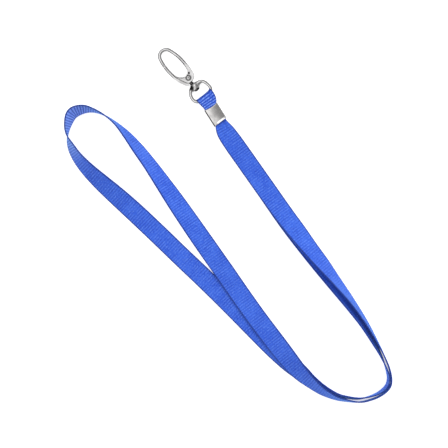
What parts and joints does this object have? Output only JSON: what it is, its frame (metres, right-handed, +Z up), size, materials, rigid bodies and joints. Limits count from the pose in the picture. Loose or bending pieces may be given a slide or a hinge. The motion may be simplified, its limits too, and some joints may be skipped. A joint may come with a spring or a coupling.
{
  "type": "lanyard",
  "caption": "Woven neck lanyard laid flat in two layers, with a metal clamp, a swivel D-ring and a sprung oval trigger hook.",
  "frame": {"origin": "bottom centre of the laid-out lanyard's bounding box, on the table", "axes": "+X across the two arms, from the neck loop's side to the hook's side; +Y along the swivel axis, from the clamp to the hook's tip; +Z up from the table"},
  "size_m": [0.0906, 0.2476, 0.0118],
  "materials": {
    "webbing": "ribbed woven polyester",
    "plated_metal": "polished nickel plate",
    "spring_wire": "bare drawn wire"
  },
  "bodies": {
    "strap": {"strap_front_upper": "webbing", "strap_bend_outer": "webbing", "strap_run_upper": "webbing", "strap_arm_right": "webbing", "strap_neck_bend": "webbing", "strap_arm_left": "webbing", "strap_run_lower": "webbing", "strap_bend_inner": "webbing", "strap_front_lower": "webbing", "strap_fold": "webbing", "crimp": "plated_metal"},
    "ring": {"d_ring": "plated_metal"},
    "hook": {"swivel_rivet": "plated_metal", "hook_frame": "plated_metal", "gate_pin": "plated_metal", "gate_spring": "spring_wire"},
    "gate": {"gate": "plated_metal"}
  },
  "joints": [
    {"name": "ring_swing", "type": "hinge", "parent": "strap", "child": "ring", "pos_m": [0.03785, 0.07455, 0.00185], "axis": [0.9962, -0.0872, 0], "range_deg": [-135, 135]},
    {"name": "hook_swivel", "type": "hinge", "parent": "ring", "child": "hook", "pos_m": [0.03785, 0.08455, 0.00185], "axis": [0, 1, 0], "continuous": true},
    {"name": "gate_hinge", "type": "hinge", "parent": "hook", "child": "gate", "pos_m": [0.03875, 0.08938, 0.00185], "axis": [0, 0, -1], "range_deg": [0, 25], "stiffness_Nm_per_rad": 0.012, "springref_deg": -57.3}
  ]
}
